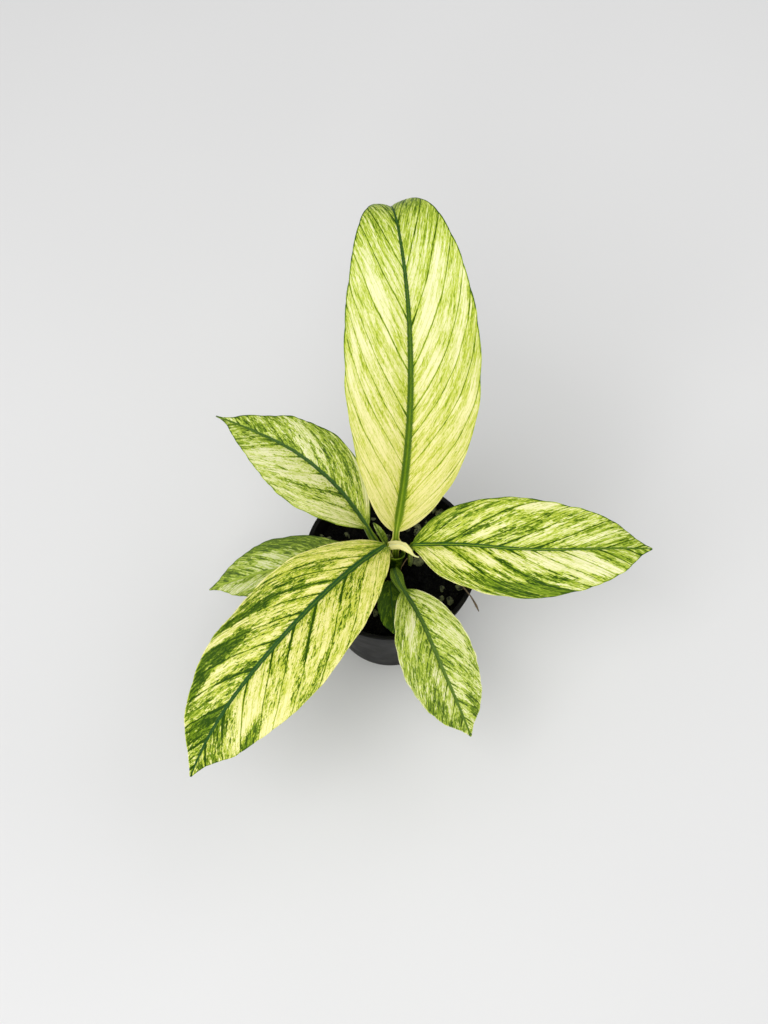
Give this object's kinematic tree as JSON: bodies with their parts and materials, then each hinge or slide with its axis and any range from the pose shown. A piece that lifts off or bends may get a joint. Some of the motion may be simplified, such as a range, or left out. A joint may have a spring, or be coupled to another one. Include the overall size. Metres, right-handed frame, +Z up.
{
  "type": "potted variegated peace lily",
  "caption": "Small house plant with long green and cream streaked leaves on short stalks, in a tapered round nursery pot filled with dark potting mix.",
  "frame": {"origin": "centre of the pot's flat underside", "axes": "+Z up along the pot's axis, -Y towards the front, where the two short leaves hang over the rim, +X to the right"},
  "size_m": [0.2295, 0.2455, 0.2308],
  "materials": {
    "pot": "black moulded polypropylene, satin",
    "potting_mix": "dark peat and bark with pale pumice lumps",
    "root": "dull tan root skin",
    "leaf_cream": "satin waxy leaf, cream with faint green streaks",
    "leaf_streaked": "satin waxy leaf, green and cream streaks along the side veins",
    "leaf_green": "satin waxy leaf, plain dark green",
    "twig": "dry grey brown bark"
  },
  "bodies": {
    "root": {"pot": "pot", "potting_mix": "potting_mix", "crown_and_roots": "root", "leaf_upright": "leaf_cream", "leaf_upper_left": "leaf_streaked", "leaf_right": "leaf_streaked", "leaf_left": "leaf_streaked", "leaf_lower_left": "leaf_streaked", "leaf_lower_right": "leaf_streaked", "leaf_small_green": "leaf_green", "bract_cream": "leaf_cream", "bract_green": "leaf_green", "sheath_green": "leaf_green", "dry_twig": "twig"}
  },
  "joints": []
}
